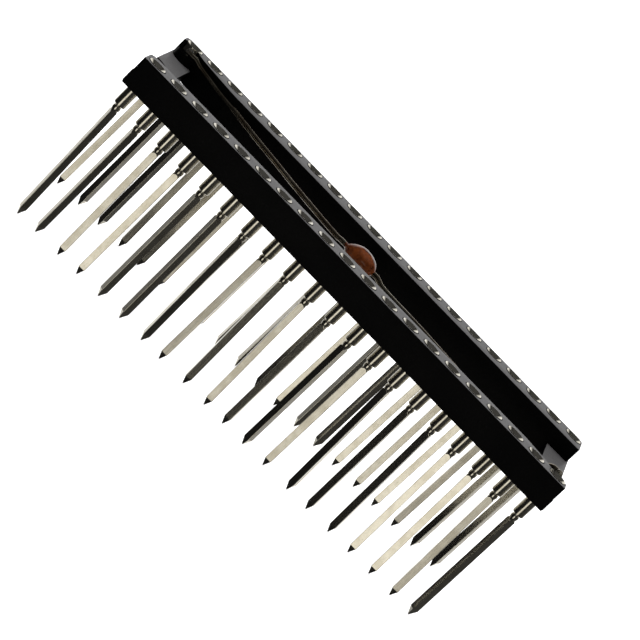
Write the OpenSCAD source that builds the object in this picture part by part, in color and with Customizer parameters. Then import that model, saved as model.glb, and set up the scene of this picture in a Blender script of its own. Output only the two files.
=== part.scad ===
// Wire-wrap IC socket, two rows of 20 contacts, with a decoupling
// capacitor wired diagonally across the open frame.
// Millimetres. +X runs along the rows from pin 1 to pin 20, +Y from the
// row of pins 1-20 to the row of pins 21-40, +Z up.
// Origin: centre of the contact pattern, at the level of the tail tips.

/* [Contact layout] */
// Distance between neighbouring contacts of a row
pitch = 2.54; // [2.5:0.01:2.6]
// Distance between the two rows
row_spacing = 15.24; // [15:0.04:15.8]

/* [Frame] */
// Height of the frame's underside above the tail tips
stand_height = 14.97; // [12:0.01:18]
// Height of the rails
rail_height = 2.88; // [2.6:0.02:3.4]
// Length of the rails
rail_length = 50.5; // [50.3:0.1:51.1]
// Width over both rails
frame_width = 17.6; // [17.4:0.1:18.2]
// Width of the rail of pins 1 to 20
near_rail_width = 3; // [2.9:0.05:3.3]
// Width of the rail of pins 21 to 40
far_rail_width = 3.4; // [3.1:0.05:3.5]
// Length over the two end crossbars
crossbar_length = 50.7; // [50.5:0.1:51.3]
// Width of an end crossbar along the rows
crossbar_width = 2.55; // [2:0.05:3]
// Thickness of an end crossbar
crossbar_thickness = 1.28; // [0.8:0.04:1.6]
// Radius of the orientation notch in the pin 1 end
notch_radius = 1.5; // [1:0.1:2]

/* [Contact sleeve] */
// Radius of the sleeve head
head_radius = 0.87; // [0.84:0.01:0.95]
// Height of the head above the rail
head_proud = 0.05; // [0:0.01:0.2]
// Depth of the counterbore that seats the head
seat_depth = 0.8; // [0.65:0.05:0.85]
// Radial gap around the head in its counterbore
seat_gap = 0.06; // [0.02:0.01:0.1]
// Radius of the barrel pressed into the frame
barrel_radius = 0.73; // [0.7:0.01:0.76]
// Radius of the collar below the frame
collar_radius = 0.57; // [0.52:0.01:0.6]
// Length of the collar below the frame
collar_length = 1.89; // [1.5:0.01:2.5]
// Radius of the throat below the lead-in funnel
throat_radius = 0.48; // [0.46:0.01:0.5]
// Radius of the bore that holds the clip, at its wide upper end
bore_radius = 0.44; // [0.4:0.01:0.45]

/* [Wire-wrap tail] */
// Width across the flats of the square tail
tail_square = 0.635; // [0.6:0.005:0.66]
// Length of the pyramid point
point_length = 0.75; // [0.5:0.05:1]
// Width of the flat at the very tip
tip_flat = 0.1; // [0.06:0.02:0.2]

/* [Capacitor] */
// Length of the capacitor body
cap_length = 3.7; // [3.4:0.1:4]
// Radius of the capacitor body
cap_radius = 1.1; // [1:0.02:1.2]
// Depth of the capacitor centre below the rail tops
cap_depth = 0.98; // [0.8:0.02:1.1]
// Radius of the capacitor leads
lead_radius = 0.24; // [0.2:0.01:0.24]
// Radius of the thinner last part of the lead to pin 40
thin_radius = 0.17; // [0.14:0.01:0.2]

/* [Hidden] */
row_pins = 20;
top_z = stand_height + rail_height;
seat_z = top_z - seat_depth;
head_z = top_z + head_proud;
near_inner = frame_width / 2 - near_rail_width;
far_inner = frame_width / 2 - far_rail_width;
frame_shift = -0.06;
rib_gap = seat_depth + 0.05;
bar_inner = crossbar_length / 2 - crossbar_width;
bar_top = stand_height + crossbar_thickness;
end_x = (row_pins - 1) / 2 * pitch;
row_y = row_spacing / 2;
seat_radius = head_radius + seat_gap;

// Levels down a contact, measured from the rail tops
throat_top = -0.3;
throat_end = -0.7;
bore_end = -3.1;
bore_taper = 0.02;
barrel_end = 0.05 - rail_height;
collar_end = -rail_height - collar_length;
waist_end = collar_end - 0.1;
bead_end = waist_end - 0.5;
waist_radius = 0.3;
bead_radius = 0.4;
pivot_z = (collar_end + waist_end) / 2;

// How far each tail is turned about its own axis, in degrees, pins 1 to 40
tail_turn = [ 25,  25,  -3,  -2,  31,  32,  20,  -6,   9,   5,
             -10, -29,  -6, -20, -14, -14,  -2,  -2,   3,  33,
             -28, -27,   4,  -5,   3,   2,  33,  29,   3, -12,
              24,  20,   4,  -9,   7,  10,  10, -32, -28,   7];
// How far each tail tip stands to the right of its sleeve, pins 1 to 40
tip_shift = [ 0.32, -0.04,  0.15, -0.09,  0.00,  0.08,  0.18, -0.13,  0.24,  0.27,
             -0.01, -0.10, -0.12,  0.25,  0.06,  0.23,  0.15,  0.17,  0.20, -0.04,
             -0.19, -0.23, -0.22, -0.22, -0.08, -0.25, -0.15, -0.10, -0.22, -0.10,
             -0.11, -0.19, -0.10, -0.12, -0.08, -0.10,  0.06, -0.10, -0.09, -0.23];

// Rise of each lead, as [share of the way to the corner pin, height from
// the rail tops]
left_run = [[0.14, -1.16], [0.25, -1.16], [0.4, -1.1], [0.47, -1.03],
            [0.58, -0.96], [0.69, -0.84], [0.73, -0.79], [0.77, -0.78],
            [0.82, -0.745], [0.872, -0.65], [0.93, -0.54], [0.95, -0.43],
            [0.964, -0.37], [0.98, -0.43]];
right_run = [[0.1, -1.08], [0.16, -1.09], [0.234, -1.0], [0.324, -0.92],
             [0.5, -0.85], [0.7, -0.8], [0.86, -0.75], [0.92, -0.66],
             [0.945, -0.45], [0.96, -0.16], [0.972, 0.01], [0.985, 0.05]];
lead_sides = 16;
lead_end_y = row_y - head_radius - lead_radius - 0.01;
lead_slope = lead_end_y / end_x;
left_end = [-end_x - 0.05, lead_end_y, top_z - 0.43];
right_end = [end_x + 0.15, -lead_end_y, top_z + 0.05];
cap_x = -0.6;
cap_tilt = 2.5;
cap_turn = atan(lead_slope);
cap_mid = [cap_x, -cap_x * lead_slope, top_z - cap_depth];
cap_dir = [cos(cap_turn) * cos(cap_tilt), -sin(cap_turn) * cos(cap_tilt), sin(cap_tilt)];

// Position of contact n in plan: 1 to 20 along the near row, 21 to 40 back
// along the far row
function pin_pos(n) = n <= row_pins
    ? [(n - (row_pins + 1) / 2) * pitch, -row_y]
    : [((3 * row_pins + 1) / 2 - n) * pitch, row_y];

// ---------- frame ----------

// What a rounded corner of radius r takes off the corner at x, y, whose
// outward directions are sx and sy
module corner_waste(x, y, sx, sy, r) {
    translate([x - sx * r, y - sy * r]) difference() {
        translate([sx > 0 ? 0 : -r - 0.2, sy > 0 ? 0 : -r - 0.2]) square(r + 0.2);
        circle(r, $fn = 64);
    }
}

// Plan of the near rail: its left end has a rounded inner corner, its right
// end is cut away by the lead notch
module near_rail_plan() {
    e = rail_length / 2;
    difference() {
        translate([-e, -frame_width / 2]) square([rail_length, near_rail_width]);
        corner_waste(-e, -near_inner, -1, 1, 0.75);
        corner_waste(-e, -frame_width / 2, -1, -1, 0.15);
        corner_waste(e, -frame_width / 2, 1, -1, 0.15);
    }
}

// Plan of the far rail, rounder at both outer corners
module far_rail_plan() {
    e = rail_length / 2;
    difference() {
        translate([-e, far_inner]) square([rail_length, far_rail_width]);
        corner_waste(e, far_inner, 1, -1, 0.4);
        corner_waste(-e, frame_width / 2, -1, 1, 0.6);
        corner_waste(e, frame_width / 2, 1, 1, 0.6);
    }
}

// Curved notch in the inner side of a rail that a capacitor lead lies in, as
// at the pin 40 corner with x mirrored
module lead_notch_plan() {
    e = crossbar_length / 2 + 1;
    wall = row_y - 0.32;
    polygon([[end_x - 6.23, 5], [end_x - 6.23, wall - 2], [end_x - 5.53, wall - 1.85],
             [end_x - 4.53, wall - 1.65], [end_x - 2.83, wall - 1.24], [end_x - 1.73, wall - 0.94],
             [end_x - 1.33, wall - 0.8], [end_x - 0.83, wall - 0.45], [end_x + 0.07, wall],
             [e, wall], [e, 5]]);
}

// Half-round rib in front of a corner contact, down to the underside
module corner_rib() {
    h = rail_height - rib_gap;
    cylinder(r = 1.1, h = h, $fn = 64);
    translate([0, -0.35, 0]) cylinder(r = 1.1, h = h, $fn = 64);
    translate([-1.1, -0.35, 0]) cube([2.2, 0.35, h]);
}

module frame() {
    color([0.06, 0.06, 0.065])
    difference() {
        union() {
            difference() {
                translate([frame_shift, 0, stand_height]) linear_extrude(rail_height) {
                    near_rail_plan();
                    far_rail_plan();
                }
                translate([0, 0, stand_height - 1]) linear_extrude(rail_height + 2) {
                    mirror([1, 0]) lead_notch_plan();
                    mirror([0, 1]) lead_notch_plan();
                }
            }
            for (s = [-1, 1])
                translate([frame_shift + (s > 0 ? bar_inner : -crossbar_length / 2),
                           -frame_width / 2 + 0.6, stand_height])
                    cube([crossbar_width, frame_width - 1.2, crossbar_thickness]);
            for (sx = [-1, 1]) {
                translate([sx * end_x, row_y, stand_height]) corner_rib();
                translate([sx * end_x, -row_y, stand_height]) rotate([0, 0, 180]) corner_rib();
            }
        }
        for (n = [1 : 2 * row_pins]) translate(concat(pin_pos(n), [0])) {
            translate([0, 0, stand_height - 1]) cylinder(r = barrel_radius, h = rail_height + 2, $fn = 64);
            translate([0, 0, seat_z]) cylinder(r = seat_radius, h = seat_depth + 1, $fn = 64);
        }
        translate([frame_shift - crossbar_length / 2, 0, stand_height - 1])
            cylinder(r = notch_radius, h = crossbar_thickness + 2, $fn = 64);
    }
}

// ---------- contacts ----------

// Turned sleeve: funnel, throat, blind tapered bore, head, barrel and collar
module sleeve() {
    lip = head_radius - 0.03;
    rotate_extrude($fn = 64) polygon([
        [0, bore_end - 0.25], [bore_radius - bore_taper, bore_end], [bore_radius, throat_end],
        [throat_radius, throat_end], [throat_radius, throat_top], [lip, head_proud],
        [head_radius, head_proud], [head_radius, -seat_depth], [barrel_radius, -seat_depth],
        [barrel_radius, barrel_end], [collar_radius, barrel_end],
        [collar_radius, collar_end + 0.06], [collar_radius - 0.06, collar_end], [0, collar_end]]);
}

// Neck and bead where the sleeve meets its tail, levels from the pivot
module neck() {
    a = waist_end - pivot_z;
    b = bead_end - pivot_z;
    rotate_extrude($fn = 64) polygon([
        [0, 0.3], [waist_radius, 0.3], [waist_radius, a], [bead_radius - 0.04, a - 0.05],
        [bead_radius - 0.01, a - 0.14], [bead_radius, a - 0.23], [bead_radius - 0.01, a - 0.32],
        [bead_radius - 0.04, a - 0.42], [bead_radius - 0.07, b], [0, b]]);
}

// Side view of the square tail with its point, tip at level -l
module tail_side(l) {
    w = tail_square / 2;
    t = tip_flat / 2;
    b = bead_end - pivot_z + 0.2;
    polygon([[-w, b], [w, b], [w, point_length - l], [t, -l], [-t, -l], [-w, point_length - l]]);
}

// Square tail of length l below the pivot, its upper corners turned down
module tail(l) {
    b = bead_end - pivot_z;
    intersection() {
        rotate([90, 0, 0]) translate([0, 0, -1]) linear_extrude(2) tail_side(l);
        rotate([90, 0, 90]) translate([0, 0, -1]) linear_extrude(2) tail_side(l);
        rotate_extrude($fn = 64) polygon([
            [0, b + 0.1], [bead_radius - 0.09, b + 0.1], [bead_radius - 0.06, b],
            [tail_square * 0.75, b - 0.2], [tail_square * 0.75, -l - 1], [0, -l - 1]]);
    }
}

module pin(n) {
    lean = atan(tip_shift[n - 1] / (top_z + pivot_z));
    reach = (top_z + pivot_z) / cos(lean);
    color([0.78, 0.74, 0.66])
    translate(concat(pin_pos(n), [top_z])) {
        sleeve();
        translate([0, 0, pivot_z]) rotate([0, -lean, 0]) rotate([0, 0, tail_turn[n - 1]]) {
            neck();
            tail(reach);
        }
    }
}

// Spring clip pressed into a sleeve: a tapered ring with four fingers that
// close on an inserted lead
module clip() {
    low = bore_radius - bore_taper * 0.6 / (throat_end - bore_end);
    color([0.72, 0.58, 0.26])
    difference() {
        rotate_extrude($fn = 48) polygon([
            [bore_radius, throat_end], [low, throat_end - 0.6], [0.2, throat_end - 1.7],
            [0.2, throat_end - 1.95], [0.15, throat_end - 1.95], [0.15, throat_end - 1.68],
            [low - 0.06, throat_end - 0.58], [bore_radius - 0.05, throat_end]]);
        for (a = [45, 135]) rotate([0, 0, a])
            translate([-0.06, -1, throat_end - 3]) cube([0.12, 2, 2.35]);
    }
}

module row_clips(first) {
    for (n = [first : first + row_pins - 1])
        translate(concat(pin_pos(n), [top_z])) clip();
}

// ---------- capacitor ----------

// Radius of the body at s, which runs from -1 at the left end to 1 at the
// right end: the left shoulder is longer than the right one
function cap_outline(s) = let (k = s < 0 ? 1.9 : 2.4, m = s < 0 ? 1.15 : 1.8)
    max(0.25, cap_radius * pow(max(0, 1 - pow(abs(s), k)), 1 / m));

// Point at t along the body from its centre
function cap_point(t) = cap_mid + t * cap_dir;

module capacitor_body() {
    h = cap_length / 2;
    color([0.36, 0.16, 0.07])
    translate(cap_mid) rotate([0, 0, -cap_turn]) rotate([0, -cap_tilt, 0]) rotate([0, 90, 0])
        rotate_extrude($fn = 64) polygon(concat(
            [[0, -h]],
            [for (i = [-24 : 24]) let (s = sin(i * 90 / 24)) [cap_outline(s), s * h]],
            [[0, h]]));
}

// Points of a lead: it leaves the body along the body's axis, follows the
// diagonal, and ends beside the head of its corner pin. side is -1 or 1.
function lead_points(run, side, last) = concat(
    [cap_point(side * cap_length / 2), cap_point(side * (cap_length / 2 + 0.5))],
    [for (p = run) [side * p[0] * end_x, -side * p[0] * lead_end_y, top_z + p[1]]],
    [last]);

// Smooth curve through points p: k steps in each span
function spline(p, k) = concat([for (i = [0 : len(p) - 2], j = [0 : k - 1])
    let (a = p[max(i - 1, 0)], b = p[i], c = p[i + 1], d = p[min(i + 2, len(p) - 1)],
         ca = i == 0 ? 2 * b - c : a, cd = i == len(p) - 2 ? 2 * c - b : d,
         t = j / k,
         tb = (c - ca) * norm(c - b) / max(norm(c - ca), 0.001),
         tc = (cd - b) * norm(c - b) / max(norm(cd - b), 0.001))
    (2 * t * t * t - 3 * t * t + 1) * b + (t * t * t - 2 * t * t + t) * tb
    + (3 * t * t - 2 * t * t * t) * c + (t * t * t - t * t) * tc], [p[len(p) - 1]]);

function unit(v) = v / norm(v);

// Round wire along points p, with a radius r for each; dir0 is its direction
// at the start
module wire(p, r, dir0) {
    n = len(p);
    m = lead_sides;
    rings = [for (i = [0 : n - 1])
        let (t = i == 0 ? dir0 : i == n - 1 ? unit(p[i] - p[i - 1]) : unit(p[i + 1] - p[i - 1]),
             s = unit(cross(t, [0, 0, 1])), u = cross(s, t))
        for (j = [0 : m - 1]) p[i] + r[i] * (cos(j * 360 / m) * s + sin(j * 360 / m) * u)];
    sides = [for (i = [0 : n - 2], j = [0 : m - 1]) let (a = i * m + j, b = i * m + (j + 1) % m)
        [a, a + m, b + m, b]];
    polyhedron(points = rings, convexity = 6,
        faces = concat([[for (j = [0 : m - 1]) j]], sides,
                       [[for (j = [m - 1 : -1 : 0]) (n - 1) * m + j]]));
}

// Radius of a lead whose last part, beyond 17.6 mm from the middle, has
// radius thin
function lead_size(x, thin) =
    lead_radius + (thin - lead_radius) * min(max((abs(x) - 17.6) / 0.4, 0), 1);

module capacitor_lead(run, side, last, thin) {
    p = spline(lead_points(run, side, last), 3);
    color([0.74, 0.71, 0.65])
        wire(p, [for (q = p) lead_size(q[0], thin)], side * cap_dir);
}

// Solder between a lead end and the head beside it, cut along the last
// stretch of the lead
module solder_joint(side, run, last, r, lead) {
    y = row_y - head_radius;
    share = run[len(run) - 1][0];
    way = [last[0] - side * share * end_x, last[1] + side * share * lead_end_y];
    color([0.7, 0.7, 0.7])
    difference() {
        translate([side * (end_x - 0.05), -side * (y + 0.02), last[2]]) sphere(r, $fn = 48);
        translate([side * end_x, -side * row_y, seat_z - 1]) cylinder(r = head_radius, h = 4, $fn = 64);
        translate(last) rotate([0, 0, atan2(way[1], way[0])]) rotate([0, 90, 0])
            cylinder(r = lead + 0.005, h = 4, center = true, $fn = 64);
        translate([side * end_x, -side * row_y, top_z - rail_height])
            cylinder(r = 4, h = rail_height - seat_depth, $fn = 64);
    }
}

frame();
pin(1);  // pin_01
pin(2);  // pin_02
pin(3);  // pin_03
pin(4);  // pin_04
pin(5);  // pin_05
pin(6);  // pin_06
pin(7);  // pin_07
pin(8);  // pin_08
pin(9);  // pin_09
pin(10);  // pin_10
pin(11);  // pin_11
pin(12);  // pin_12
pin(13);  // pin_13
pin(14);  // pin_14
pin(15);  // pin_15
pin(16);  // pin_16
pin(17);  // pin_17
pin(18);  // pin_18
pin(19);  // pin_19
pin(20);  // pin_20
pin(21);  // pin_21
pin(22);  // pin_22
pin(23);  // pin_23
pin(24);  // pin_24
pin(25);  // pin_25
pin(26);  // pin_26
pin(27);  // pin_27
pin(28);  // pin_28
pin(29);  // pin_29
pin(30);  // pin_30
pin(31);  // pin_31
pin(32);  // pin_32
pin(33);  // pin_33
pin(34);  // pin_34
pin(35);  // pin_35
pin(36);  // pin_36
pin(37);  // pin_37
pin(38);  // pin_38
pin(39);  // pin_39
pin(40);  // pin_40
row_clips(1);  // near_row_clips
row_clips(row_pins + 1);  // far_row_clips
capacitor_body();
capacitor_lead(left_run, -1, left_end, thin_radius);  // capacitor_lead_pin_40
capacitor_lead(right_run, 1, right_end, lead_radius);  // capacitor_lead_pin_20
solder_joint(-1, left_run, left_end, 0.36, thin_radius);  // solder_joint_pin_40
solder_joint(1, right_run, right_end, 0.36, lead_radius);  // solder_joint_pin_20
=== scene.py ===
import math

import bmesh
import bpy
import numpy as np
from mathutils import Matrix, Vector, noise

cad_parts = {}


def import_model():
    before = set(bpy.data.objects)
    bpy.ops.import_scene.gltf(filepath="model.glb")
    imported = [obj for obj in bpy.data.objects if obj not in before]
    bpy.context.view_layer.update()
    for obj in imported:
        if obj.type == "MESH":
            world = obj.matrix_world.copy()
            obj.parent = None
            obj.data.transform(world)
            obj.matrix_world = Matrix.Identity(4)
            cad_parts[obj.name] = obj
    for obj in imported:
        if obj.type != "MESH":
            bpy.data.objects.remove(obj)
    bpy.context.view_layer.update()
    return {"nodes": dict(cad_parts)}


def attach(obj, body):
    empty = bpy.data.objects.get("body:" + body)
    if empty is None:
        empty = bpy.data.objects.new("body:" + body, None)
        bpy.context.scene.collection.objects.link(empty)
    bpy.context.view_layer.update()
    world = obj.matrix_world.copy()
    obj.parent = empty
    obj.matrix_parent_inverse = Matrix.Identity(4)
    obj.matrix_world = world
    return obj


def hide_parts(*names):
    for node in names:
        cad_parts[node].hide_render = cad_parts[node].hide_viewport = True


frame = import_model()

MM = 0.001
scene = bpy.context.scene

# ---------------------------------------------------------------- dimensions (mm, as in the CAD model)
PITCH, ROW_Y = 2.54, 7.62
TOP, RAIL_H, STAND = 17.85, 2.88, 14.97
END_X = 24.13
HEAD_R, HEAD_PROUD, SEAT_D, SEAT_GAP = 0.87, 0.05, 0.80, 0.06
BARREL_R, COLLAR_R, COLLAR_L = 0.73, 0.57, 1.89
THROAT_R, BORE_R = 0.48, 0.44
COLLAR_END = -RAIL_H - COLLAR_L
WAIST_END = COLLAR_END - 0.1
BEAD_END = WAIST_END - 0.5
SHIFT = -0.06
PIVOT = (COLLAR_END + WAIST_END) / 2
TAIL_SQ, POINT_L, TIP_FLAT = 0.635, 0.75, 0.1
TAIL_TURN = [25, 25, -3, -2, 31, 32, 20, -6, 9, 5,
             -10, -29, -6, -20, -14, -14, -2, -2, 3, 33,
             -28, -27, 4, -5, 3, 2, 33, 29, 3, -12,
             24, 20, 4, -9, 7, 10, 10, -32, -28, 7]
TIP_SHIFT = [0.32, -0.04, 0.15, -0.09, 0.00, 0.08, 0.18, -0.13, 0.24, 0.27,
             -0.01, -0.10, -0.12, 0.25, 0.06, 0.23, 0.15, 0.17, 0.20, -0.04,
             -0.19, -0.23, -0.22, -0.22, -0.08, -0.25, -0.15, -0.10, -0.22, -0.10,
             -0.11, -0.19, -0.10, -0.12, -0.08, -0.10, 0.06, -0.10, -0.09, -0.23]


def pin_pos(n):
    if n <= 20:
        return ((n - 10.5) * PITCH, -ROW_Y)
    return ((30.5 - n) * PITCH, ROW_Y)


# ---------------------------------------------------------------- node helpers
class Nodes:
    """A short way to build a node material."""

    def __init__(self, tree):
        self.t = tree
        self.n = tree.nodes
        self.l = tree.links

    def add(self, kind, **props):
        node = self.n.new(kind)
        for k, v in props.items():
            setattr(node, k, v)
        return node

    def put(self, socket, value):
        if hasattr(value, "is_output"):
            self.l.new(value, socket)
        else:
            socket.default_value = value

    def math(self, op, a, b=None, c=None, clamp=False):
        node = self.add("ShaderNodeMath", operation=op, use_clamp=clamp)
        for i, v in enumerate((a, b, c)):
            if v is not None:
                self.put(node.inputs[i], v)
        return node.outputs[0]

    def vmath(self, op, a, b=None, scale=None):
        node = self.add("ShaderNodeVectorMath", operation=op)
        self.put(node.inputs[0], a)
        if b is not None:
            self.put(node.inputs[1], b)
        if scale is not None:
            self.put(node.inputs["Scale"], scale)
        return node.outputs["Value"] if op in ("DOT_PRODUCT", "LENGTH", "DISTANCE") else node.outputs[0]

    def ramp(self, x, lo, hi, a=0.0, b=1.0, smooth=True):
        node = self.add("ShaderNodeMapRange", clamp=True)
        node.interpolation_type = "SMOOTHSTEP" if smooth else "LINEAR"
        self.put(node.inputs["Value"], x)
        self.put(node.inputs["From Min"], lo)
        self.put(node.inputs["From Max"], hi)
        self.put(node.inputs["To Min"], a)
        self.put(node.inputs["To Max"], b)
        return node.outputs["Result"]

    def noise(self, vec, scale, detail=3.0, rough=0.55, dist=0.0):
        node = self.add("ShaderNodeTexNoise")
        self.put(node.inputs["Vector"], vec)
        node.inputs["Scale"].default_value = scale
        node.inputs["Detail"].default_value = detail
        node.inputs["Roughness"].default_value = rough
        node.inputs["Distortion"].default_value = dist
        return node.outputs["Fac"]

    def mapped(self, scale=(1000, 1000, 1000), rot=(0, 0, 0)):
        tc = self.add("ShaderNodeTexCoord")
        mp = self.add("ShaderNodeMapping")
        mp.inputs["Scale"].default_value = scale
        mp.inputs["Rotation"].default_value = rot
        self.l.new(tc.outputs["Object"], mp.inputs["Vector"])
        return mp.outputs["Vector"]

    def mix(self, fac, a, b):
        node = self.add("ShaderNodeMix", data_type="RGBA", blend_type="MIX")
        self.put(node.inputs["Factor"], fac)
        for s, v in ((node.inputs[6], a), (node.inputs[7], b)):
            self.put(s, v if hasattr(v, "is_output") else (*v, 1.0))
        return node.outputs[2]

    def bump(self, height, strength, distance, normal=None):
        node = self.add("ShaderNodeBump")
        node.inputs["Strength"].default_value = strength
        node.inputs["Distance"].default_value = distance
        self.put(node.inputs["Height"], height)
        if normal is not None:
            self.put(node.inputs["Normal"], normal)
        return node.outputs["Normal"]


def material(name):
    m = bpy.data.materials.new(name)
    m.use_nodes = True
    k = Nodes(m.node_tree)
    k.n.clear()
    out = k.add("ShaderNodeOutputMaterial")
    bs = k.add("ShaderNodeBsdfPrincipled")
    k.l.new(bs.outputs[0], out.inputs["Surface"])
    return m, k, bs


def black_plastic():
    m, k, bs = material("black_plastic")
    v = k.mapped()
    fine = k.noise(v, 9.0, 4.0, 0.62)
    mid = k.noise(v, 2.2, 3.0, 0.5)
    wide = k.noise(v, 0.22, 2.0, 0.5)
    col = k.mix(k.ramp(wide, 0.3, 0.7), (0.0004, 0.0004, 0.0005), (0.0010, 0.0009, 0.0009))
    speck = k.ramp(k.noise(v, 5.0, 2.0, 0.5), 0.62, 0.72)
    col = k.mix(k.math("MULTIPLY", speck, 0.25), col, (0.006, 0.006, 0.006))
    tc = k.add("ShaderNodeTexCoord")
    sep = k.add("ShaderNodeSeparateXYZ")
    k.l.new(tc.outputs["Object"], sep.inputs[0])
    # painted sheen: upward faces at the rail-top and crossbar-top levels get a paler base colour, standing in for the
    # grey reflection of the bright surround at grazing view
    painted_sheen_levels = k.math("MAXIMUM", k.ramp(sep.outputs["Z"], 0.01750, 0.01770), k.ramp(sep.outputs["Z"], 0.01660, 0.01640))
    up = k.ramp(k.vmath("DOT_PRODUCT", tc.outputs["Normal"], (0, 0, 1)), 0.80, 0.97)
    up = k.math("MULTIPLY", up, painted_sheen_levels)
    # colour of the painted sheen on those top faces
    painted_sheen_col = k.mix(k.ramp(fine, 0.35, 0.65), (0.060, 0.059, 0.060), (0.085, 0.083, 0.083))
    col = k.mix(up, col, painted_sheen_col)
    k.put(bs.inputs["Base Color"], col)
    rough = k.math("ADD", k.math("MULTIPLY", fine, 0.16), k.math("MULTIPLY", mid, 0.10))
    k.put(bs.inputs["Roughness"], k.math("ADD", rough, 0.24))
    bs.inputs["IOR"].default_value = 1.12
    b1 = k.bump(fine, 0.35, 0.00002)
    b2 = k.bump(wide, 0.25, 0.0002, b1)
    k.put(bs.inputs["Normal"], b2)
    return m


def tin_plate():
    m, k, bs = material("tin_plate")
    v = k.mapped()
    vlong = k.mapped((1000, 1000, 110))
    vgrain = k.mapped((1000, 1000, 420))
    drawn = k.noise(vlong, 6.0, 4.0, 0.6)
    grain = k.noise(vgrain, 7.0, 5.0, 0.65)
    patch = k.noise(v, 0.8, 3.0, 0.55)
    col = k.mix(k.ramp(patch, 0.35, 0.68), (0.80, 0.765, 0.67), (0.69, 0.65, 0.55))
    dots = k.ramp(grain, 0.56, 0.70)
    col = k.mix(k.math("MULTIPLY", dots, 0.30), col, (0.54, 0.50, 0.38))
    stain = k.ramp(k.noise(v, 1.7, 4.0, 0.6), 0.60, 0.76)
    col = k.mix(k.math("MULTIPLY", stain, 0.35), col, (0.46, 0.40, 0.28))
    k.put(bs.inputs["Base Color"], col)
    bs.inputs["Metallic"].default_value = 1.0
    tc = k.add("ShaderNodeTexCoord")
    sep = k.add("ShaderNodeSeparateXYZ")
    k.l.new(tc.outputs["Object"], sep.inputs[0])
    level = k.ramp(sep.outputs["Z"], 0.0126, 0.0131, 0.07, 0.12)
    rough = k.math("MULTIPLY", grain, 0.10)
    rough = k.math("ADD", rough, k.math("MULTIPLY", patch, 0.08))
    k.put(bs.inputs["Roughness"], k.math("ADD", rough, level))
    b1 = k.bump(drawn, 0.09, 0.00002)
    b2 = k.bump(grain, 0.04, 0.00001, b1)
    k.put(bs.inputs["Normal"], b2)
    return m


def tinned_wire():
    m, k, bs = material("tinned_wire")
    v = k.mapped()
    grain = k.noise(v, 4.0, 3.0, 0.55)
    patch = k.noise(v, 0.5, 3.0, 0.5)
    col = k.mix(k.ramp(patch, 0.35, 0.65), (0.44, 0.40, 0.31), (0.27, 0.22, 0.15))
    stain = k.ramp(k.noise(v, 1.3, 3.0, 0.6), 0.52, 0.70)
    col = k.mix(k.math("MULTIPLY", stain, 0.6), col, (0.16, 0.11, 0.065))
    k.put(bs.inputs["Base Color"], col)
    bs.inputs["Metallic"].default_value = 1.0
    k.put(bs.inputs["Roughness"], k.math("ADD", k.math("MULTIPLY", grain, 0.12), 0.12))
    k.put(bs.inputs["Normal"], k.bump(grain, 0.10, 0.00001))
    return m


def gold_plate():
    m, k, bs = material("gold_plate")
    v = k.mapped()
    grain = k.noise(v, 9.0, 4.0, 0.6)
    col = k.mix(grain, (0.80, 0.60, 0.26), (0.60, 0.42, 0.16))
    k.put(bs.inputs["Base Color"], col)
    bs.inputs["Metallic"].default_value = 1.0
    k.put(bs.inputs["Roughness"], k.math("ADD", k.math("MULTIPLY", grain, 0.2), 0.16))
    k.put(bs.inputs["Normal"], k.bump(grain, 0.2, 0.00001))
    return m


def brown_coat():
    m, k, bs = material("brown_coat")
    v = k.mapped()
    wide = k.noise(v, 0.9, 3.0, 0.55, 0.4)
    fine = k.noise(v, 6.0, 4.0, 0.6)
    col = k.mix(k.ramp(wide, 0.38, 0.66), (0.020, 0.004, 0.002), (0.13, 0.032, 0.008))
    col = k.mix(k.math("MULTIPLY", k.ramp(fine, 0.55, 0.75), 0.30), col, (0.30, 0.11, 0.035))
    k.put(bs.inputs["Base Color"], col)
    bs.inputs["Roughness"].default_value = 0.16
    bs.inputs["IOR"].default_value = 1.45
    bs.inputs["Coat Weight"].default_value = 0.3
    bs.inputs["Coat Roughness"].default_value = 0.06
    k.put(bs.inputs["Normal"], k.bump(wide, 0.35, 0.0002))
    return m


def solder():
    m, k, bs = material("solder")
    v = k.mapped()
    grain = k.noise(v, 8.0, 4.0, 0.6)
    col = k.mix(grain, (0.70, 0.68, 0.62), (0.52, 0.49, 0.43))
    k.put(bs.inputs["Base Color"], col)
    bs.inputs["Metallic"].default_value = 1.0
    k.put(bs.inputs["Roughness"], k.math("ADD", k.math("MULTIPLY", grain, 0.25), 0.14))
    k.put(bs.inputs["Normal"], k.bump(grain, 0.3, 0.00002))
    return m


MAT = {"black_plastic": black_plastic(), "tin_plate": tin_plate(), "tinned_wire": tinned_wire(),
       "gold_plate": gold_plate(), "brown_coat": brown_coat(), "solder": solder()}


# ---------------------------------------------------------------- mesh helpers
def finish_mesh(obj, slot, angle=28.0):
    """Smooth shading with sharp edges over the given angle, and the material."""
    me = obj.data
    me.materials.clear()
    me.materials.append(MAT[slot])
    bm = bmesh.new()
    bm.from_mesh(me)
    bmesh.ops.recalc_face_normals(bm, faces=bm.faces)
    lim = math.radians(angle)
    for f in bm.faces:
        f.smooth = True
    for e in bm.edges:
        e.smooth = not (len(e.link_faces) != 2 or e.calc_face_angle(0.0) > lim)
    bm.to_mesh(me)
    bm.free()
    return obj


def new_object(name, verts, faces):
    me = bpy.data.meshes.new(name)
    me.from_pydata([tuple(c * MM for c in v) for v in verts], [], faces)
    me.validate()
    me.update()
    obj = bpy.data.objects.new(name, me)
    scene.collection.objects.link(obj)
    return obj


def lathe_faces(rings, count, closed_ends=True):
    """Faces between rings of count vertices; the end rings are left open for the caller to close."""
    faces = []
    for i in range(rings - 1):
        for j in range(count):
            a, b = i * count + j, i * count + (j + 1) % count
            faces.append((a, b, b + count, a + count))
    return faces


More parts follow.
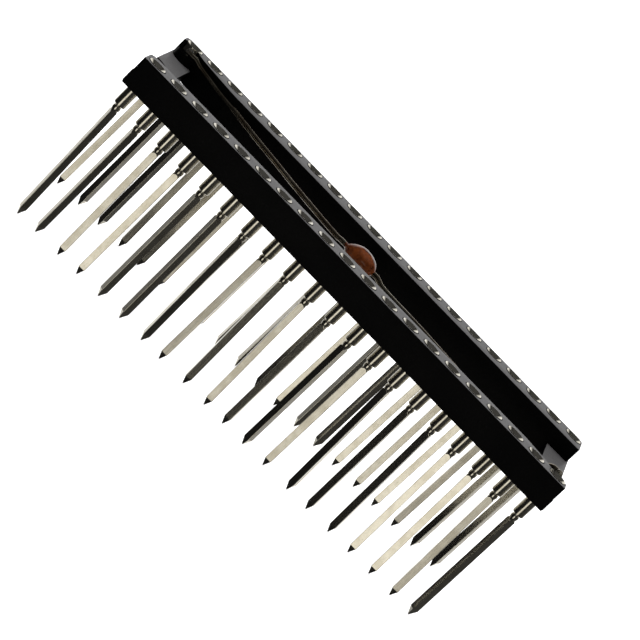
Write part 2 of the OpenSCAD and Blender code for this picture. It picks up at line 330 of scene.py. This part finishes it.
# ---------------------------------------------------------------- contacts
W = TAIL_SQ / 2
EDGE = 0.035
QUAD = [0.0, 8.0, 16.0, 24.0, 31.0, 37.0, 42.3, 45.0, 47.7, 53.0, 59.0, 66.0, 74.0, 82.0]
ANGLES = [q + 90 * k for k in range(4) for q in QUAD]
NSEG = len(ANGLES)


def square_radius(deg, w, e):
    """Distance from the axis to a square of half width w with edges rounded to radius e."""
    t = math.radians(deg % 90)
    if t > math.pi / 4:
        t = math.pi / 2 - t
    if t < math.atan2(w - e, w):
        return w / math.cos(t)
    c = (w - e) * (math.cos(t) + math.sin(t))
    return c + math.sqrt(max(0.0, c * c - (2 * (w - e) ** 2 - e * e)))


# outline of the turned sleeve from the bottom of its bore round to the neck, level from the rail tops
SLEEVE = [
    (0.10, -3.31), (0.26, -3.21), (0.40, -3.115), (0.42, -3.08), (0.427, -2.2), (0.434, -1.4), (0.44, -0.72),
    (0.45, -0.70), (0.47, -0.70), (0.48, -0.69), (0.48, -0.50), (0.48, -0.33), (0.49, -0.29), (0.52, -0.25),
    (0.66, -0.12), (0.81, 0.018), (0.832, 0.042), (0.842, 0.05), (0.850, 0.05), (0.862, 0.044), (0.87, 0.030),
    (0.87, -0.15), (0.87, -0.45), (0.87, -0.76), (0.862, -0.787), (0.845, -0.80), (0.75, -0.80), (0.73, -0.80),
    (0.73, -0.85), (0.73, -1.5), (0.73, -2.3), (0.73, -2.795), (0.72, -2.825), (0.70, -2.83), (0.59, -2.83), (0.57, -2.83),
    (0.57, -2.88), (0.57, -3.3), (0.57, -3.9), (0.57, -4.4), (0.57, -4.68), (0.562, -4.712), (0.54, -4.74),
    (0.518, -4.762), (0.505, -4.77), (0.33, -4.77), (0.305, -4.775), (0.30, -4.79), (0.30, -4.82)]
# neck and bead, level from the pivot
NECK = [(0.30, -0.035), (0.303, -0.047), (0.325, -0.052), (0.350, -0.070), (0.362, -0.105), (0.378, -0.15), (0.390, -0.20),
        (0.396, -0.26), (0.398, -0.31), (0.390, -0.37), (0.376, -0.43), (0.358, -0.48), (0.345, -0.525), (0.335, -0.545)]


def contact(n):
    px, py = pin_pos(n)
    shift = TIP_SHIFT[n - 1]
    lean = math.atan(shift / (TOP + PIVOT))
    reach = (TOP + PIVOT) / math.cos(lean)
    turn = TAIL_TURN[n - 1]
    rot = Matrix.Rotation(-lean, 3, "Y")
    verts = []
    ca = [(math.cos(math.radians(a + turn)), math.sin(math.radians(a + turn))) for a in ANGLES]

    def ring(radii, z, leaning):
        for (c, s), r in zip(ca, radii):
            v = Vector((r * c, r * s, z))
            if leaning:
                v = rot @ v
                v.z += PIVOT
            verts.append((px + v.x, py + v.y, TOP + v.z))

    for r, z in SLEEVE:
        ring([r] * NSEG, z, False)
    count = len(SLEEVE)
    for r, z in NECK:
        ring([r] * NSEG, z, True)
        count += 1
    b = BEAD_END - PIVOT
    levels = [(b - d, W, 0.335 + d * 0.70) for d in (0.012, 0.04, 0.07, 0.10, 0.13, 0.16, 0.20)]
    z0, z1 = b - 0.32, POINT_L - reach
    seed = Vector((n * 7.3, 2.1, 5.7))
    for i in range(9):
        t = i / 8
        levels.append((z0 + (z1 + 0.02 - z0) * t, W, 9.0))
    for d in (0.0, 0.02, 0.06):
        levels.append((z1 - d, W - d * (W - TIP_FLAT / 2) / POINT_L, 9.0))
    for t in (0.3, 0.6, 0.85, 0.96):
        levels.append((z1 - t * POINT_L, W + (TIP_FLAT / 2 - W) * t, 9.0))
    levels.append((-reach + 0.006, TIP_FLAT / 2, 9.0))
    levels.append((-reach, TIP_FLAT / 2 - 0.012, 9.0))
    for z, w, cap in levels:
        e = min(EDGE, w * 0.45)
        ring([min(square_radius(a, w, e), cap) for a in ANGLES], z, True)
        count += 1
    faces = lathe_faces(count, NSEG)
    # close the bottom of the bore and the tip
    verts.append((px, py, TOP - 3.35))
    c0 = len(verts) - 1
    tip = rot @ Vector((0, 0, -reach))
    verts.append((px + tip.x, py + tip.y, TOP + PIVOT + tip.z))
    c1 = len(verts) - 1
    for j in range(NSEG):
        k = (j + 1) % NSEG
        faces.append((c0, k, j))
        last = (count - 1) * NSEG
        faces.append((c1, last + j, last + k))
    obj = new_object(f"contact_{n:02d}", verts, faces)
    finish_mesh(obj, "tin_plate", 24.0)
    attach(obj, "root")
    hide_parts(f"pin_{n:02d}")
    return obj


for number in range(1, 41):
    contact(number)


# ---------------------------------------------------------------- frame
def arc(cx, cy, r, a0, a1, n):
    return [(cx + r * math.cos(math.radians(a0 + (a1 - a0) * i / n)),
             cy + r * math.sin(math.radians(a0 + (a1 - a0) * i / n))) for i in range(n + 1)]


def inset(poly, d):
    """Moves a closed counter-clockwise outline inwards by d, keeping its point count."""
    out = []
    n = len(poly)
    for i in range(n):
        p0, p1, p2 = Vector(poly[i - 1]), Vector(poly[i]), Vector(poly[(i + 1) % n])
        d1, d2 = (p1 - p0).normalized(), (p2 - p1).normalized()
        n1, n2 = Vector((-d1.y, d1.x)), Vector((-d2.y, d2.x))
        m = n1 + n2
        k = m.dot(n1)
        out.append(tuple(p1 + m * (d / max(k, 0.3))))
    return out


def slab(bm, poly, z0, z1, r0, r1, steps=3):
    """Closed prism over an outline, its lower and upper edges rounded to r0 and r1."""
    levels = []
    for i in range(steps + 1):
        a = math.pi / 2 * i / steps
        levels.append((z0 + r0 * (1 - math.sin(a)), r0 * (1 - math.cos(a))) if r0 else (z0, 0.0))
        if not r0:
            break
    levels = sorted(levels)
    up = []
    for i in range(steps + 1):
        a = math.pi / 2 * i / steps
        up.append((z1 - r1 * (1 - math.sin(a)), r1 * (1 - math.cos(a))) if r1 else (z1, 0.0))
        if not r1:
            break
    levels += sorted(up)
    rings = []
    for z, d in levels:
        pts = inset(poly, d) if d > 1e-6 else poly
        rings.append([bm.verts.new((x, y, z)) for x, y in pts])
    n = len(poly)
    for a, b in zip(rings, rings[1:]):
        for i in range(n):
            j = (i + 1) % n
            bm.faces.new((a[i], a[j], b[j], b[i]))
    bm.faces.new(list(reversed(rings[0])))
    bm.faces.new(rings[-1])


def make(name, build):
    bm = bmesh.new()
    build(bm)
    bmesh.ops.recalc_face_normals(bm, faces=bm.faces)
    me = bpy.data.meshes.new(name)
    bm.to_mesh(me)
    bm.free()
    obj = bpy.data.objects.new(name, me)
    scene.collection.objects.link(obj)
    return obj


def boolean(target, tool, op):
    mod = target.modifiers.new(op, "BOOLEAN")
    mod.operation = op
    mod.solver = "EXACT"
    mod.object = tool
    dg = bpy.context.evaluated_depsgraph_get()
    me = bpy.data.meshes.new_from_object(target.evaluated_get(dg))
    target.modifiers.clear()
    old = target.data
    target.data = me
    bpy.data.meshes.remove(old)
    tool_mesh = tool.data
    bpy.data.objects.remove(tool)
    bpy.data.meshes.remove(tool_mesh)


def turned(poly):
    return [(-x, -y) for x, y in poly]


def lead_wall():
    """Curved wall of the notch that a lead lies in, as x, y from the middle outwards."""
    wall = ROW_Y - 0.32
    return [(END_X - 6.23, wall - 2), (END_X - 5.53, wall - 1.85), (END_X - 4.53, wall - 1.65),
            (END_X - 2.83, wall - 1.24), (END_X - 1.73, wall - 0.94), (END_X - 1.33, wall - 0.8),
            (END_X - 0.83, wall - 0.45), (END_X + 0.07, wall)]


def wall_from(y_inner):
    """The part of the notch wall that lies inside a rail whose inner edge is at y_inner."""
    w = lead_wall()
    out = []
    for a, b in zip(w, w[1:]):
        if a[1] < y_inner <= b[1]:
            t = (y_inner - a[1]) / (b[1] - a[1])
            out.append((a[0] + (b[0] - a[0]) * t, y_inner))
        if b[1] > y_inner + 1e-6:
            out.append(b)
    return out


def near_rail():
    e, y0, y1 = 25.25, -8.8, -5.8
    right, left = e + SHIFT, -e + SHIFT
    wall = ROW_Y - 0.32
    pts = arc(left + 0.15, y0 + 0.15, 0.15, 180, 270, 6) + arc(right - 0.15, y0 + 0.15, 0.15, 270, 360, 6)
    pts += [(right, -wall)] + [(x, -y) for x, y in reversed(wall_from(-y1))]
    pts += arc(left + 0.75, y1 - 0.75, 0.75, 90, 180, 12)
    return pts


def far_rail():
    e, y0, y1 = 25.25, 5.4, 8.8
    right, left = e + SHIFT, -e + SHIFT
    wall = ROW_Y - 0.32
    pts = arc(right - 0.6, y1 - 0.6, 0.6, 0, 90, 10) + arc(left + 0.6, y1 - 0.6, 0.6, 90, 180, 10)
    pts += [(left, wall)] + [(-x, y) for x, y in reversed(wall_from(y0))]
    pts += arc(right - 0.4, y0 + 0.4, 0.4, 270, 360, 8)
    return pts


def bar(s):
    outer, inner = 25.35, 22.80
    if s > 0:
        return [(inner + SHIFT, -8.2), (outer + SHIFT, -8.2), (outer + SHIFT, 8.2), (inner + SHIFT, 8.2)]
    a = arc(SHIFT - outer, 0, 1.5, 90, -90, 24)
    return [(SHIFT - inner, -8.2), (SHIFT - inner, 8.2), (SHIFT - outer, 8.2)] + a + [(SHIFT - outer, -8.2)]


def rib(sx, sy):
    cx, r = sx * END_X, 1.1
    if sy > 0:
        return arc(cx, ROW_Y - 0.35, r, 180, 360, 24) + arc(cx, ROW_Y, r, 0, 180, 24)
    return arc(cx, -ROW_Y + 0.35, r, 0, 180, 24) + arc(cx, -ROW_Y, r, 180, 360, 24)


def frame_piece():
    body = make("socket_frame", lambda bm: slab(bm, near_rail(), STAND, TOP, 0.05, 0.06))
    boolean(body, make("t", lambda bm: slab(bm, far_rail(), STAND, TOP, 0.05, 0.06)), "UNION")
    for s in (-1, 1):
        boolean(body, make("t", lambda bm: slab(bm, bar(s), STAND + 0.001, STAND + 1.28, 0.05, 0.05)), "UNION")
    for sx in (-1, 1):
        for sy in (-1, 1):
            boolean(body, make("t", lambda bm: slab(bm, rib(sx, sy), STAND + 0.002, TOP - SEAT_D - 0.05, 0.0, 0.05)), "UNION")

    def cutters(bm):
        prof = [(BARREL_R + 0.06, STAND - 0.5), (BARREL_R + 0.06, STAND - 0.02), (BARREL_R + 0.012, STAND + 0.02), (BARREL_R, STAND + 0.06),
                (BARREL_R, TOP - SEAT_D), (HEAD_R + SEAT_GAP, TOP - SEAT_D), (HEAD_R + SEAT_GAP, TOP - 0.05),
                (HEAD_R + SEAT_GAP + 0.012, TOP - 0.015), (HEAD_R + SEAT_GAP + 0.05, TOP + 0.02),
                (HEAD_R + SEAT_GAP + 0.05, TOP + 0.5)]
        seg = 72
        for n in range(1, 41):
            px, py = pin_pos(n)
            rings = []
            for r, z in prof:
                rings.append([bm.verts.new((px + r * math.cos(2 * math.pi * j / seg), py + r * math.sin(2 * math.pi * j / seg), z))
                              for j in range(seg)])
            for a, b in zip(rings, rings[1:]):
                for j in range(seg):
                    k = (j + 1) % seg
                    bm.faces.new((a[j], a[k], b[k], b[j]))
            bm.faces.new(list(reversed(rings[0])))
            bm.faces.new(rings[-1])

    boolean(body, make("t", cutters), "DIFFERENCE")
    bm = bmesh.new()
    bm.from_mesh(body.data)
    bmesh.ops.remove_doubles(bm, verts=bm.verts, dist=1e-4)
    bmesh.ops.dissolve_degenerate(bm, edges=bm.edges, dist=1e-5)
    bmesh.ops.scale(bm, vec=(MM, MM, MM), verts=bm.verts)
    bmesh.ops.triangulate(bm, faces=[f for f in bm.faces if len(f.verts) > 4])
    bm.to_mesh(body.data)
    bm.free()
    finish_mesh(body, "black_plastic", 32.0)
    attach(body, "root")
    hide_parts("frame")
    return body


frame_piece()

# ---------------------------------------------------------------- capacitor and leads
LEAD_R = 0.24
LEAD_END_Y = ROW_Y - HEAD_R - LEAD_R - 0.01
SLOPE = LEAD_END_Y / END_X
CAP_L, CAP_R, CAP_X, CAP_TILT = 3.7, 1.10, -0.6, 2.5
CAP_TURN = math.degrees(math.atan(SLOPE))
CAP_MID = Vector((CAP_X, -CAP_X * SLOPE, TOP - 0.98))
ct, tl = math.radians(CAP_TURN), math.radians(CAP_TILT)
CAP_DIR = Vector((math.cos(ct) * math.cos(tl), -math.sin(ct) * math.cos(tl), math.sin(tl)))
LEFT_RUN = [(0.14, -1.16), (0.25, -1.16), (0.4, -1.1), (0.47, -1.03), (0.58, -0.96), (0.69, -0.84), (0.73, -0.79),
            (0.77, -0.78), (0.82, -0.745), (0.872, -0.65), (0.93, -0.54), (0.95, -0.43), (0.964, -0.37), (0.98, -0.43)]
RIGHT_RUN = [(0.1, -1.08), (0.16, -1.09), (0.234, -1.0), (0.324, -0.92), (0.5, -0.85), (0.7, -0.8), (0.86, -0.75),
             (0.92, -0.66), (0.945, -0.45), (0.96, -0.16), (0.972, 0.01), (0.985, 0.05)]
THIN_R = 0.17


def cap_outline(s):
    k, m = (1.9, 1.15) if s < 0 else (2.4, 1.8)
    return max(0.25, CAP_R * max(0.0, 1 - abs(s) ** k) ** (1 / m))


def capacitor():
    side = Vector((0, 0, 1)).cross(CAP_DIR).normalized()
    up = CAP_DIR.cross(side)
    seg, steps = 64, 60
    verts, h = [], CAP_L / 2
    for i in range(-steps, steps + 1):
        s = math.sin(math.pi / 2 * i / steps)
        r = cap_outline(s)
        for j in range(seg):
            a = 2 * math.pi * j / seg
            d = side * math.cos(a) + up * math.sin(a)
            p = Vector((s * h * 1.0, math.cos(a), math.sin(a)))
            bump = 0.018 * noise.noise(p * 1.3 + Vector((3, 1, 7))) + 0.008 * noise.noise(p * 3.1)
            rr = r - 0.012 + bump * min(1.0, max(0.0, (r - 0.28)) / 0.5)
            verts.append(tuple(CAP_MID + CAP_DIR * (s * h) + d * rr))
    count = 2 * steps + 1
    faces = lathe_faces(count, seg)
    verts.append(tuple(CAP_MID - CAP_DIR * h))
    verts.append(tuple(CAP_MID + CAP_DIR * h))
    for j in range(seg):
        k = (j + 1) % seg
        faces.append((len(verts) - 2, k, j))
        faces.append((len(verts) - 1, (count - 1) * seg + j, (count - 1) * seg + k))
    obj = new_object("capacitor_bead", verts, faces)
    finish_mesh(obj, "brown_coat", 50.0)
    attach(obj, "root")
    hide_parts("capacitor_body")
    return obj


def spline(p, k):
    out = []
    n = len(p)
    for i in range(n - 1):
        a, b, c, d = p[max(i - 1, 0)], p[i], p[i + 1], p[min(i + 2, n - 1)]
        ca = b * 2 - c if i == 0 else a
        cd = c * 2 - b if i == n - 2 else d
        tb = (c - ca) * (c - b).length / max((c - ca).length, 1e-3)
        tc = (cd - b) * (c - b).length / max((cd - b).length, 1e-3)
        for j in range(k):
            t = j / k
            out.append((2 * t ** 3 - 3 * t ** 2 + 1) * b + (t ** 3 - 2 * t ** 2 + t) * tb
                       + (3 * t ** 2 - 2 * t ** 3) * c + (t ** 3 - t ** 2) * tc)
    out.append(p[-1].copy())
    return out


def lead(name, node, run, s, last, thin):
    pts = [CAP_MID + CAP_DIR * s * CAP_L / 2, CAP_MID + CAP_DIR * s * (CAP_L / 2 + 0.5)]
    pts += [Vector((s * t * END_X, -s * t * LEAD_END_Y, TOP + h)) for t, h in run]
    pts.append(Vector(last))
    path = spline(pts, 8)
    seg = 32
    verts, n = [], len(path)
    rings = []
    for i, p in enumerate(path):
        t = CAP_DIR * s if i == 0 else (path[i] - path[i - 1]).normalized() if i == n - 1 else (path[i + 1] - path[i - 1]).normalized()
        r = LEAD_R + (thin - LEAD_R) * min(max((abs(p.x) - 17.6) / 0.4, 0.0), 1.0)
        rings.append((p, t, r))
    # rounded cut end
    p, t, _ = rings[-1]
    rings[-1] = (p - t * 0.03, t, thin)
    for q in (0.35, 0.7, 1.0):
        rings.append((p - t * (0.03 - 0.03 * math.sin(math.pi / 2 * q)), t, thin - 0.03 * (1 - math.cos(math.pi / 2 * q))))
    for p, t, r in rings:
        sd = t.cross(Vector((0, 0, 1))).normalized()
        u = sd.cross(t)
        for j in range(seg):
            a = 2 * math.pi * j / seg
            verts.append(tuple(p + (sd * math.cos(a) + u * math.sin(a)) * r))
    count = len(rings)
    faces = lathe_faces(count, seg)
    verts.append(tuple(rings[0][0]))
    verts.append(tuple(rings[-1][0]))
    for j in range(seg):
        k = (j + 1) % seg
        faces.append((len(verts) - 2, k, j))
        faces.append((len(verts) - 1, (count - 1) * seg + j, (count - 1) * seg + k))
    obj = new_object(name, verts, faces)
    finish_mesh(obj, "tinned_wire", 50.0)
    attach(obj, "root")
    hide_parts(node)
    return obj


capacitor()
lead("lead_to_pin_40", "capacitor_lead_pin_40", LEFT_RUN, -1, (-END_X - 0.05, LEAD_END_Y, TOP - 0.43), THIN_R)
lead("lead_to_pin_20", "capacitor_lead_pin_20", RIGHT_RUN, 1, (END_X + 0.15, -LEAD_END_Y, TOP + 0.05), LEAD_R)

# CAD nodes that keep their shape
for node_name, slot_name in (("near_row_clips", "gold_plate"), ("far_row_clips", "gold_plate"),
                             ("solder_joint_pin_40", "solder"), ("solder_joint_pin_20", "solder")):
    ob = frame["nodes"][node_name]
    ob.data.materials.clear()
    ob.data.materials.append(MAT[slot_name])


# ---------------------------------------------------------------- floor, light and camera
def floor():
    me = bpy.data.meshes.new("floor")
    s = 1.6
    me.from_pydata([(-s, -s, 0), (s, -s, 0), (s, s, 0), (-s, s, 0)], [], [(0, 1, 2, 3)])
    ob = bpy.data.objects.new("floor", me)
    scene.collection.objects.link(ob)
    m = bpy.data.materials.new("floor")
    m.use_nodes = True
    k = Nodes(m.node_tree)
    k.n.clear()
    out = k.add("ShaderNodeOutputMaterial")
    d = k.add("ShaderNodeBsdfDiffuse")
    d.inputs["Color"].default_value = (0.85, 0.85, 0.85, 1)
    e = k.add("ShaderNodeEmission")
    e.inputs["Color"].default_value = (1, 1, 1, 1)
    e.inputs["Strength"].default_value = 0.55
    a = k.add("ShaderNodeAddShader")
    k.l.new(d.outputs[0], a.inputs[0])
    k.l.new(e.outputs[0], a.inputs[1])
    k.l.new(a.outputs[0], out.inputs["Surface"])
    me.materials.append(m)
    ob.visible_glossy = False


def world():
    w = bpy.data.worlds.new("studio")
    scene.world = w
    w.use_nodes = True
    k = Nodes(w.node_tree)
    k.n.clear()
    out = k.add("ShaderNodeOutputWorld")
    bg = k.add("ShaderNodeBackground")
    k.l.new(bg.outputs[0], out.inputs["Surface"])
    tc = k.add("ShaderNodeTexCoord")
    d = tc.outputs["Generated"]
    flat = k.vmath("NORMALIZE", k.vmath("MULTIPLY", d, (1, 1, 0)))
    front_cos = k.vmath("DOT_PRODUCT", flat, (0, -1, 0))
    right_cos = k.vmath("DOT_PRODUCT", flat, (1, 0, 0))
    z = k.vmath("DOT_PRODUCT", d, (0, 0, 1))
    front = k.math("MULTIPLY", k.ramp(front_cos, 0.955, 0.9992), k.math("MULTIPLY", k.ramp(z, -0.80, -0.50), k.ramp(z, 0.45, 0.10)))
    back = k.math("MULTIPLY", k.ramp(front_cos, -0.35, -0.93), k.math("MULTIPLY", k.ramp(z, -0.97, -0.80), k.ramp(z, 0.72, 0.50)))
    side = k.math("MULTIPLY", k.ramp(right_cos, 0.45, 0.85), k.ramp(z, 0.75, 0.35))
    zenith = k.ramp(z, 0.70, 0.82)
    base = k.vmath("SCALE", (1.0, 1.0, 1.0), scale=0.010)
    c1 = k.vmath("SCALE", (1.0, 0.965, 0.87), scale=k.math("MULTIPLY", front, 1.05))
    c2 = k.vmath("SCALE", (1.0, 1.0, 1.0), scale=k.math("MULTIPLY", back, 1.05))
    c3 = k.vmath("SCALE", (1.0, 0.98, 0.92), scale=k.math("MULTIPLY", side, 0.03))
    c4 = k.vmath("SCALE", (1.0, 1.0, 1.0), scale=k.math("MULTIPLY", zenith, 0.05))
    total = k.vmath("ADD", k.vmath("ADD", base, c1), k.vmath("ADD", k.vmath("ADD", c2, c4), c3))
    k.l.new(total, bg.inputs["Color"])
    bg.inputs["Strength"].default_value = 1.0


def backdrop():
    """White surround that only the camera sees."""
    me = bpy.data.meshes.new("backdrop")
    bm = bmesh.new()
    bmesh.ops.create_icosphere(bm, subdivisions=4, radius=1.5)
    bm.to_mesh(me)
    bm.free()
    ob = bpy.data.objects.new("backdrop", me)
    scene.collection.objects.link(ob)
    m = bpy.data.materials.new("backdrop")
    m.use_nodes = True
    k = Nodes(m.node_tree)
    k.n.clear()
    out = k.add("ShaderNodeOutputMaterial")
    em = k.add("ShaderNodeEmission")
    em.inputs["Color"].default_value = (1, 1, 1, 1)
    em.inputs["Strength"].default_value = 1.0
    k.l.new(em.outputs[0], out.inputs["Surface"])
    me.materials.append(m)
    ob.visible_glossy = False
    ob.visible_diffuse = False
    ob.visible_shadow = False
    ob.visible_transmission = False


def area(name, loc, size, power, target=(0, 0, 0), glossy=False):
    li = bpy.data.lights.new(name, "AREA")
    li.shape = "SQUARE"
    li.size = size
    li.energy = power
    ob = bpy.data.objects.new(name, li)
    scene.collection.objects.link(ob)
    ob.location = loc
    ob.rotation_euler = (Vector(target) - Vector(loc)).to_track_quat("-Z", "Y").to_euler()
    ob.visible_glossy = glossy
    ob.visible_camera = False
    return ob


def camera():
    cam = bpy.data.cameras.new("camera")
    ob = bpy.data.objects.new("camera", cam)
    scene.collection.objects.link(ob)
    r0 = Vector((0.999763, -0.013223, 0.017290))
    r1 = Vector((0.013454, -0.249079, -0.968390))
    fwd = Vector((0.017111, 0.968393, -0.248842)).normalized()
    right = (r0 - r1).normalized()
    right = (right - fwd * right.dot(fwd)).normalized()
    down = fwd.cross(right)
    m = Matrix((right, -down, -fwd)).transposed().to_4x4()
    m.translation = Vector((-3.723, -258.670, 59.210 + TOP)) * MM
    ob.matrix_world = m
    cam.sensor_width = 36.0
    cam.lens = 3065.76 / 640 * 36.0
    cam.clip_start = 0.01
    cam.clip_end = 10
    cam.shift_x = 0.0
    cam.shift_y = 0.0
    scene.camera = ob


camera()
floor()
backdrop()
world()
area("overhead", (0.0, 0.05, 0.7), 0.9, 9.0)
scene.view_settings.view_transform = "Standard"
scene.view_settings.look = "None"
